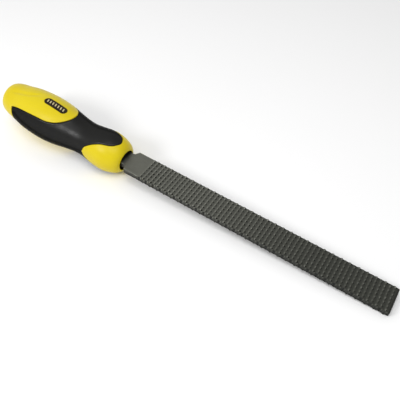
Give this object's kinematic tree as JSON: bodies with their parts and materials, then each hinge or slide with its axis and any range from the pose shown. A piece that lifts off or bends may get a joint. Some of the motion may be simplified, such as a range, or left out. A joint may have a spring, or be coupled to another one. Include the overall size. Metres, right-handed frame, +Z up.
{
  "type": "flat wood rasp",
  "caption": "Flat square-ended wood rasp with punched teeth on both faces and a bulbous moulded handle of hard plastic and black soft grip.",
  "frame": {"origin": "on the bench plane under the middle of the bounding box, with the tool lying on the bulge of its handle's nose and the underside of the blade's tip", "axes": "+X along the tool from the butt of the handle to the blade's tip, +Y across the blade, +Z up; the blade slopes down to its tip by 3.4 degrees"},
  "size_m": [0.3186, 0.0348, 0.0382],
  "materials": {
    "blade_steel": "dull grey hardened steel with fine grain",
    "core_plastic": "semi-gloss moulded yellow",
    "grip_rubber": "satin black soft-touch",
    "badge_plastic": "cream panel with a dark rim"
  },
  "bodies": {
    "root": {"rasp_blade": "blade_steel", "handle_core": "core_plastic", "soft_grip": "grip_rubber", "badge_plate": "badge_plastic"}
  },
  "joints": []
}
